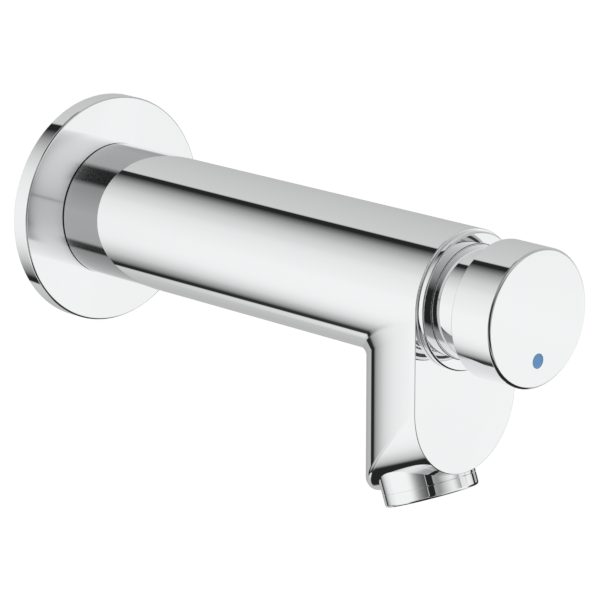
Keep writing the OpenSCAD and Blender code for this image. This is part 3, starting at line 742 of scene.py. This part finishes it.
# Return spring: hard-drawn steel wire wound cold, with its first and last turn laid close and
# ground. It stands in the neck and pushes the button out again.
spring_r = 0.010
wire_r = 0.00075
wire_facets = 12
spring_back = 0.1508
spring_front = 0.1775
spring_turns = 7
turn_steps = 60
close_pitch = 0.0020
open_pitch = (spring_front - spring_back - 2 * close_pitch) / (spring_turns - 2)
angles = [number * math.tau / wire_facets for number in range(wire_facets)]
section = [(spring_r + wire_r * math.cos(angle), wire_r * math.sin(angle)) for angle in angles]
spring = wind("return_coil", section, -spring_back, -open_pitch, spring_turns, turn_steps)
for number, point in enumerate(spring.data.vertices):
    turns = number // wire_facets / turn_steps
    closed = min(turns, 1) + max(turns - spring_turns + 1, 0)
    point.co.y += closed * (open_pitch - close_pitch)
polish(spring, steel)
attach(spring, "fixed_body")
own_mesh(spring)
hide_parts("return_spring")


# Neck: the chromed brass sleeve that stands out of the collar. The push button slides over it on a
# plastic ring in a groove near its end.
neck_r = 0.01625
neck_shank_r = 0.01635
neck_foot_r = 0.01795
neck_bore_r = 0.01325
neck_hole_r = 0.0055
neck_floor = 0.150
neck_end = 0.1708
collar_back = 0.149
collar_front = 0.1576
ring_back = 0.1684
ring_front = 0.1700
ring_groove_r = 0.0156
neck = lathe("neck_sleeve", [
    (neck_hole_r, neck_back), (neck_foot_r, neck_back), (neck_foot_r, collar_back),
    (neck_shank_r, collar_back), (neck_shank_r, collar_front), (neck_r, collar_front),
    (neck_r, ring_back), (ring_groove_r, ring_back), (ring_groove_r, ring_front),
    (neck_r, ring_front), (neck_r, neck_end), (neck_bore_r, neck_end), (neck_bore_r, neck_floor),
    (neck_hole_r, neck_floor)])
round_edges(neck, on_rings((neck_r, neck_end), (neck_bore_r, neck_end)), width=0.0003, segments=3)
polish(neck, chrome)
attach(neck, "fixed_body")
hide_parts("guide_sleeve")


# Front collar: a chromed brass ring nut. It is screwed into the body's front and clamps the neck's
# foot and the cartridge behind it.
collar_r = 0.01975
collar_bore_r = 0.01645
collar_thread_r = 0.01795
collar = lathe("collar_ring", [
    (collar_bore_r, collar_back), (collar_thread_r, collar_back), (collar_thread_r, tube_front),
    (collar_r, tube_front), (collar_r, collar_front), (collar_bore_r, collar_front)])
round_edges(collar, on_rings((collar_r, collar_front)), width=0.0005, segments=4, profile=0.35)
round_edges(collar, on_rings((collar_r, tube_front)), width=0.0002, segments=2)
round_edges(collar, on_rings((collar_bore_r, collar_front)), width=0.0002, segments=3)
polish(collar, chrome)
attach(collar, "fixed_body")
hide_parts("front_collar")


# Push button: a deep cap pressed and turned from brass, with a fine bevel round its face, polished
# and chromed. It is pushed in by hand and covers the end of the neck. A dark ring of painted shade
# is laid on its rear end, standing in for the shade that falls there against the collar.
button_r = 0.01975
button_bore_r = 0.0166
button_back = 0.168
button_front = 0.1823
button_floor = 0.1798
# The ring of painted shade on the rear end lies between these two radii.
shade_ring_inner_r = 0.0177
shade_ring_outer_r = 0.0187
dot_r = 0.0021
dot_drop = 0.0119
dot_back = 0.1817
dot_gap = 0.00005
dot_facets = 64
button_past = 0.19


def lower_to_dot(piece):
    """Moves a piece that was turned round the tube's axis down to the dot's place."""
    work_on(piece)
    piece.location.z = -dot_drop
    bpy.ops.object.transform_apply()


button = lathe("button_cap", [
    (button_bore_r, button_back), (shade_ring_inner_r, button_back), (shade_ring_outer_r, button_back),
    (button_r, button_back), (button_r, button_front), (0, button_front), (0, button_floor),
    (button_bore_r, button_floor)])
round_edges(button, on_rings((button_r, button_front)), width=0.0008, segments=6, profile=0.3)
round_edges(button, on_rings((button_r, button_back)), width=0.0005, segments=4)
round_edges(button, on_rings((button_bore_r, button_back)), width=0.0003, segments=3)
recess = rod("dot_recess", dot_r + dot_gap, dot_back, button_past, dot_facets)
lower_to_dot(recess)
trim(button, recess, "DIFFERENCE")
polish(button, chrome)
# Painted shade: a dark, dull chrome for the ring on the button's rear end, standing in for the
# shade that falls there against the collar.
painted_shade_chrome, maker, place = finish_of("painted_shade_chrome")
pits = place.noise(800.0, 4.0)
maker.surface({"Base Color": pits.mix(grey(0.07), grey(0.13)), "Metallic": 1.0,
               "Roughness": 0.30 + 0.15 * pits})
finish_part(button, painted_shade_chrome, lambda middle: middle.y > -button_back - near
            and shade_ring_inner_r < math.hypot(middle.x, middle.z) < shade_ring_outer_r)
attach(button, "button_body")
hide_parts("push_button")


# Blue dot: a small plug of glossy blue plastic, pressed into the button's face, for cold water. It
# stands out by a hair.
dot_front = button_front + 0.00002
dot = rod("blue_dot", dot_r, dot_back, dot_front, dot_facets)
round_edges(dot, on_rings((dot_r, dot_front)), width=0.00015, segments=3)
lower_to_dot(dot)
blue, maker, place = finish_of("blue_plastic")
flow = place.noise(700.0, 3.0)
maker.surface({"Base Color": flow.mix((0.10, 0.32, 0.64, 1), (0.13, 0.36, 0.70, 1)),
               "Roughness": 0.30 + 0.1 * flow})
polish(dot, blue)
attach(dot, "button_body")
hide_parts("cold_marker")


# Outlet ring: the chromed brass housing of the flow straightener, screwed up into the spout's
# underside. A fine seam runs round it where a key grips it, and its lip holds the insert.
outlet_stand = 0.0046
outlet_thread_r = 0.0120
outlet_bore_r = 0.0108
outlet_lip_r = 0.0100
outlet_lip = 0.0036
outlet_top = 0.0105
outlet_seam = 0.0008
seam_depth = 0.00013
outlet = lathe("outlet_ring", [
    (outlet_bore_r, -outlet_top), (outlet_thread_r, -outlet_top), (outlet_thread_r, -outlet_sunk),
    (outlet_r, -outlet_sunk), (outlet_r, outlet_seam - seam_depth),
    (outlet_r - seam_depth, outlet_seam), (outlet_r, outlet_seam + seam_depth),
    (outlet_r, outlet_stand), (outlet_lip_r, outlet_stand), (outlet_lip_r, outlet_lip),
    (outlet_bore_r, outlet_lip)])
round_edges(outlet, on_rings((outlet_r, outlet_stand)), width=0.0009, segments=6)
round_edges(outlet, on_rings((outlet_lip_r, outlet_stand)), width=0.0003, segments=3)
to_outlet(outlet)
polish(outlet, chrome)
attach(outlet, "fixed_body")
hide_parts("aerator_housing")


# Honeycomb: the moulded white grid at the outlet, which lets the water out in one clear jet. The
# mouth of each cell is slightly rounded.
def on_mouth(edge):
    """Whether an edge is a sharp one round the lower side."""
    faces = edge.link_faces
    return (len(faces) == 2 and edge.calc_face_angle() > 0.7
            and any(face.normal.z < -0.9 for face in faces))


honeycomb = bpy.data.objects.new("outlet_honeycomb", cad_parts["aerator_grid"].data.copy())
bpy.context.scene.collection.objects.link(honeycomb)
work_on(honeycomb)
bpy.ops.object.mode_set(mode="EDIT")
bpy.ops.mesh.select_all(action="SELECT")
bpy.ops.mesh.remove_doubles(threshold=touching)
bpy.ops.mesh.dissolve_limited(angle_limit=math.radians(1))
bpy.ops.object.mode_set(mode="OBJECT")
round_edges(honeycomb, on_mouth, width=0.00009, segments=2)
polish(honeycomb, white_plastic)
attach(honeycomb, "fixed_body")
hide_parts("aerator_grid")
